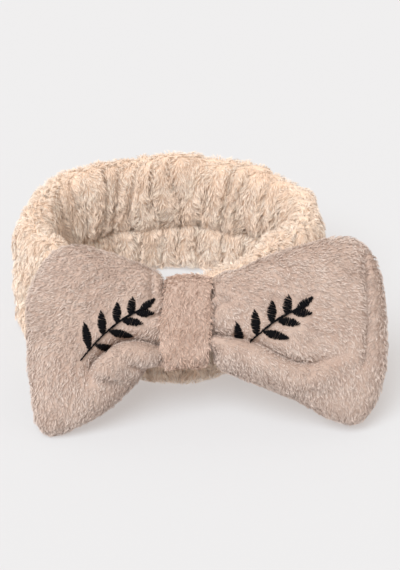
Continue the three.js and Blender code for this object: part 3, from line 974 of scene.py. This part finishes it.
def comb_bow(side, seam):
    """The bow's pile lies away from the knot and down; it stands straighter down low on the lobe. Past a
    topstitched seam it lies back towards the seam, so the two sides meet in a row of chevrons."""

    def comb(places, outward):
        local = to_bow(places) / MM
        low = smoothstep(-local[:, 2], -10, 45)
        past = smoothstep(side * local[:, 0], seam, seam + 2) if seam else 0
        drift = 0.5 * waves(places, 0.03, 41)
        flat = np.stack([
            side * (0.85 - 0.65 * low) * (1 - 1.8 * past) + 0.4 * drift,
            np.zeros(len(places)),
            -0.45 - 0.6 * low + 0.5 * drift,
        ], 1)
        return flat @ AXES

    return comb


def blend_lobe(piece):
    """Makes the piece's place part of its mesh."""
    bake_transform(piece)


def edge_stitches(name, lobe, ground):
    """Running stitches along the seam where the two panels of a lobe meet."""
    tree = surface_tree(ground)
    outline = smooth_curve(lobe["outline"], 400, closed=True)
    outline = outline[np.abs(outline[:, 0]) > EDGE_STITCH["clear"]]
    inward = unit(np.array(lobe["centre"], float) - outline)
    outside = outline - 12 * inward
    paths = []
    for first in range(2, len(outline) - EDGE_STITCH["points"], EDGE_STITCH["spacing"]):
        path = []
        for k in range(first, first + EDGE_STITCH["points"]):
            flat = (outline[k] * MM, outside[k] * MM, inward[k])
            own, start, heading = (Vector((x, 0, z)) for x, z in flat)
            hit = tree.ray_cast(start, heading)[0]
            path.append(tuple(own if hit is None else hit))
        paths.append(path)
    piece = tubes(f"{name}_edge_stitches", from_bow(np.array(paths)), EDGE_STITCH["radius"], AXES[1])
    dress(piece, LOOKS["beige_thread"])
    return piece


def inner_copy(ground, name, inset):
    """A copy of a closed surface, drawn inside it by inset."""
    points, triangles = points_of(ground), triangles_of(ground)
    for _ in range(3):
        points = points - inset / 3 * vertex_normals(points, triangles)
    return mesh_object(name, points, triangles)


def backing_patch(name, lobe, tree):
    """The non-woven patch behind the stitches, just inside the front panel."""
    x, z, scale = lobe["motif"]
    steps = PATCH["steps"]
    u = scale * np.linspace(-1, 1, steps)
    flat = np.meshgrid(PATCH["half_width"] * u, PATCH["half_height"] * u, indexing="ij")
    places = on_front(tree, (np.stack(flat, -1).reshape(-1, 2) + (x, z)) * MM)
    depth = places[:, 1].reshape(steps, steps)
    for _ in range(5):  # each place goes as deep as its neighbours, so that a crease can't cut through
        padded = np.pad(depth, 1, mode="edge")
        depth = np.max([padded[i:i + steps, k:k + steps] for i in range(3) for k in range(3)], axis=0)
    places[:, 1] = depth.ravel() + PATCH["depth"]
    under = places + (0, PATCH["thickness"], 0)
    i, k = np.meshgrid(np.arange(steps - 1), np.arange(steps - 1), indexing="ij")
    corner = (i * steps + k).ravel()
    top = np.stack([corner, corner + 1, corner + steps + 1, corner + steps], 1)
    faces = np.vstack([top, top[:, ::-1] + len(places)])
    return mesh_object(name, from_bow(np.vstack([places, under])), faces)


def settle(piece):
    """Whatever would reach under the floor is pressed flat on it."""
    points = points_of(piece)
    points[:, 2] = np.maximum(points[:, 2], 0.2 * MM)
    set_points(piece, points)


def trim_lobe(lobe, covered):
    """The pile is short beside stitches and in creases, and none grows under stitches or the knot."""
    tree = search_tree(np.column_stack([covered, np.zeros(len(covered))]))

    def trim(places, outward):
        local = to_bow(places)
        in_front = local[:, 1] < 2 * MM
        stitch = np.array([tree.find((x, z, 0))[2] for x, _, z in local]) / MM
        stitch = np.where(in_front, stitch, np.inf)
        length = 0.3 + 0.7 * smoothstep(stitch, 0.8, 3.6)
        for crease in lobe["creases"]:
            gap = np.abs(nearest_on(crease_line(crease), local[:, [0, 2]])[0]) / MM
            gap = np.where(in_front, gap, np.inf)
            length = length * (0.4 + 0.6 * smoothstep(gap, 0.5, 1.4 * crease.width))
        return np.where((stitch < 0.75) | (np.abs(local[:, 0]) < HIDDEN_BY_KNOT), 0, length)

    return trim


def build_lobe(name, lobe, look, ground_look, number):
    """One lobe: its cloth, pile, edge stitches, filling, embroidery and the patch behind it."""
    ground = build_lobe_ground(name, lobe)
    dress(ground, ground_look)
    tree = surface_tree(ground)
    sprig, covered = embroider(name, lobe, tree)
    comb = comb_bow(lobe["side"], lobe.get("seam"))
    pile = grow_pile(f"{name}_pile", ground, look, comb, 50 + number, trim_lobe(lobe, covered))
    stitches = edge_stitches(name, lobe, ground)
    wadding = inner_copy(ground, f"{name}_filling", FILLING_DEPTH)
    dress(wadding, LOOKS["wadding"])
    backing = backing_patch(f"{name}_patch", lobe, tree)
    dress(backing, LOOKS["backing"])
    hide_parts(f"{name}_front_panel", f"{name}_back_panel")
    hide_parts(f"{name}_edge_seam")
    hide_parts(f"{name}_wadding")
    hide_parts(f"{name}_embroidery")
    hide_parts(f"{name}_embroidery_backing")
    slots = {
        ground: "bow_plush", pile: "bow_plush", stitches: "beige_thread",
        wadding: "wadding", sprig: "black_thread", backing: "backing",
    }
    for piece, slot in slots.items():
        settle(piece)
        blend_lobe(piece)


# ---- knot

KNOT = {"depth": 26, "height": 52, "wall": 4.5, "back_width": 27}
KNOT_INSET = 0.8 * FUR_ROOM / MM


def knot_width(z):
    """The strip's width and sideways shift at a height of the knot, in mm."""
    width = np.interp(z, [-26, -12, 2, 18, 26], [28.5, 30.5, 31, 28, 25])
    shift = np.interp(z, [-26, 0, 26], [-3.6, -1.2, 0.8])
    return width, shift


def superellipse(turn, a, b, power):
    """Points of an ellipse at power 1, and of a shape nearer its box at a smaller power."""
    c, s = np.cos(turn), np.sin(turn)
    return a * np.sign(c) * np.abs(c) ** power, b * np.sign(s) * np.abs(s) ** power


def knot_surface(rounds, sides):
    """The strip's points in the bow's axes, in metres: it loops round the bow's middle, crowned outside."""
    turn = np.linspace(0, 2 * math.pi, rounds, endpoint=False)
    a, b = ((KNOT[size] - KNOT["wall"]) / 2 - KNOT_INSET * 0.5 for size in ("depth", "height"))
    y, z = superellipse(turn, a, b, 0.5)
    path = np.stack([y, z], -1)
    tangent = unit(np.roll(path, -1, 0) - np.roll(path, 1, 0))
    out = np.stack([tangent[:, 1], -tangent[:, 0]], -1)
    width, shift = knot_width(z)
    width = np.where(y < 2, width, KNOT["back_width"])
    section = np.linspace(0, 2 * math.pi, sides, endpoint=False)
    across, thick = superellipse(section, 0.5, 1.0, 0.4)
    x = (width[:, None] - 2 * KNOT_INSET) * across + shift[:, None]
    bulge = (KNOT["wall"] / 2 + 0.9 * (1 - (2 * across) ** 2)) * thick
    yz = path[:, None] + bulge[..., None] * out[:, None]
    local = np.stack([x, yz[..., 0], yz[..., 1]], -1).reshape(-1, 3) * MM
    return local + (0.6 * MM * waves(local, 0.012, 61))[:, None]


def build_knot(look, ground_look):
    """The strip round the bow's middle, with pile on its outside."""
    rounds, sides = 150, 44
    quads = ring_quads(rounds, sides)[:, [0, 3, 2, 1]]
    strap = mesh_object("knot_strap", from_bow(knot_surface(rounds, sides)), quads)
    dress(strap, ground_look)

    def comb(places, outward):
        return -UP * np.ones((len(places), 1)) + 0.5 * waves(places, 0.012, 62)[:, None] * ACROSS

    def trim(places, outward):
        towards_middle = (to_bow(places) * (outward @ AXES.T))[:, 1:].sum(1) < 0
        return np.where(towards_middle, 0, 1.0)

    pile = grow_pile("knot_pile", strap, look, comb, 63, trim)
    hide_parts("knot_strip")
    for piece in (strap, pile):
        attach(piece, "band_front")


def dress_stitching():
    """The CAD's own small sewn pieces keep their shape, and get thread or tape for a surface."""
    looks = {
        "elastic_lap": "webbing",
        "elastic_stitch_left": "beige_thread",
        "elastic_stitch_right": "beige_thread",
        "sleeve_end_seam": "tape",
        "tack_stitch_upper": "beige_thread",
        "tack_stitch_lower": "beige_thread",
        "knot_back_seam": "beige_thread",
    }
    for name, look in looks.items():
        dress(frame["nodes"][name], LOOKS[look])


def build_core(ground_look):
    """The gathered waist of the bow, inside the knot: a plug of cloth with pleats running across."""
    steps, sides = 13, 72
    turn = np.linspace(0, 2 * math.pi, sides, endpoint=False)
    y, z = superellipse(turn, 6.4, 18.5, 0.8)
    x = np.linspace(-13.5, 12, steps)[:, None]
    pleat = 1 - 0.07 * (1 + np.cos(14 * turn)) - 0.02 * np.cos(5 * turn)
    shape = (1 + 0.06 * (x / 13) ** 2) * pleat
    local = np.stack(np.broadcast_arrays(x, y * shape, z * shape), -1).reshape(-1, 3) * MM
    quads = ring_quads(steps, sides, closed=False)[:, [0, 3, 2, 1]].tolist()
    caps = [list(range(sides))[::-1], [(steps - 1) * sides + s for s in range(sides)]]
    core = mesh_object("gathered_waist", from_bow(local), quads + caps)
    dress(core, ground_look)
    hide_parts("bow_core")
    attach(core, "band_front")


def build_bow():
    """Both lobes, the knot and the waist inside it."""
    ground_look = ground_material("bow_ground", (203, 183, 171), (187, 165, 153), 60)
    look = pile_look(
        "bow_pile", (205, 187, 177), (229, 216, 208),
        length=3.1, width=0.38, per_mm2=1.6, tuft=1.8, swirl=0.35,
        lift=0.5, gather=0.55, curl=0.15, twist=0.95, sheen=0.12,
    )
    knot_look = pile_look(
        "knot_pile", (203, 175, 159), (230, 209, 197),
        length=2.8, width=0.4, per_mm2=1.8, tuft=1.6, swirl=0.6,
        lift=0.65, gather=0.5, curl=0.15, twist=0.9, sheen=0.12,
    )
    for number, (name, lobe) in enumerate(LOBES.items()):
        build_lobe(name, lobe, look, ground_look, number)
    build_knot(knot_look, ground_look)
    build_core(ground_look)


make_camera()
make_light()
make_floor()
build_band()
build_band_insides()
build_bow()
dress_stitching()
